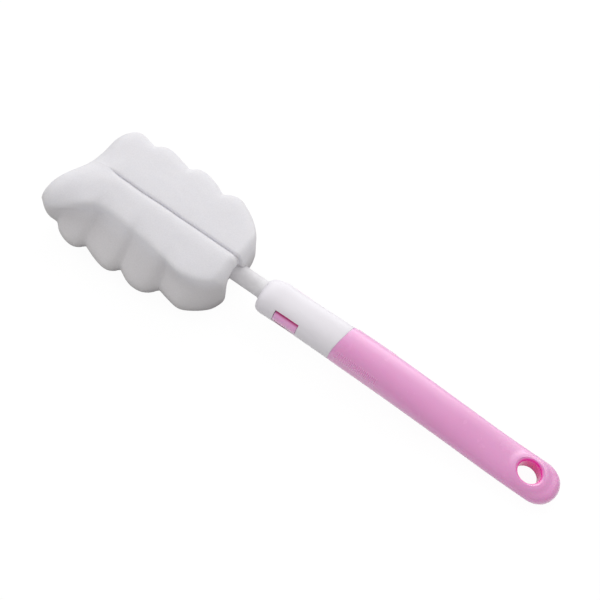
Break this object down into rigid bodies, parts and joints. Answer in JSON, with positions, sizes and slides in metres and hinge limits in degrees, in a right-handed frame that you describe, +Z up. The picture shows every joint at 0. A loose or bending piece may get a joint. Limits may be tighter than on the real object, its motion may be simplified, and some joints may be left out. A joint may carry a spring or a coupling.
{
  "type": "sponge cup brush",
  "caption": "Long-handled cup and bottle brush with a scalloped foam head on a detachable collar held by latch buttons.",
  "frame": {"origin": "centre of the bounding box in X and Y, on the table that the brush lies on (z = 0)", "axes": "+X along the brush from the sponge towards the hanging hole, +Y across it, +Z up from the table"},
  "size_m": [0.295, 0.068, 0.0353],
  "materials": {
    "handle_pink": "gloss",
    "tongue_near_pink": "gloss",
    "tongue_far_pink": "gloss",
    "collar_white": "satin",
    "stem_white": "satin",
    "sponge_foam": "matte"
  },
  "bodies": {
    "handle": {"handle": "handle_pink"},
    "head": {"head_collar": "collar_white", "head_stem": "stem_white", "sponge_head": "sponge_foam"},
    "latch_near": {"latch_tongue_near": "tongue_near_pink"},
    "latch_far": {"latch_tongue_far": "tongue_far_pink"}
  },
  "joints": [
    {"name": "head_pull_off", "type": "slide", "parent": "handle", "child": "head", "axis": [-0.9993, 0, 0.0386], "range_m": [0, 0.045], "deforming": ["latch_tongue_near", "latch_tongue_far"]},
    {"name": "latch_near_press", "type": "hinge", "parent": "handle", "child": "latch_near", "pos_m": [0.012, -0.0073, 0.01309], "axis": [-0.0386, 0, -0.9993], "range_deg": [0, 6.5], "stiffness_Nm_per_rad": 0.6},
    {"name": "latch_far_press", "type": "hinge", "parent": "handle", "child": "latch_far", "pos_m": [0.012, 0.0073, 0.01309], "axis": [0.0386, 0, 0.9993], "range_deg": [0, 6.5], "stiffness_Nm_per_rad": 0.6}
  ]
}
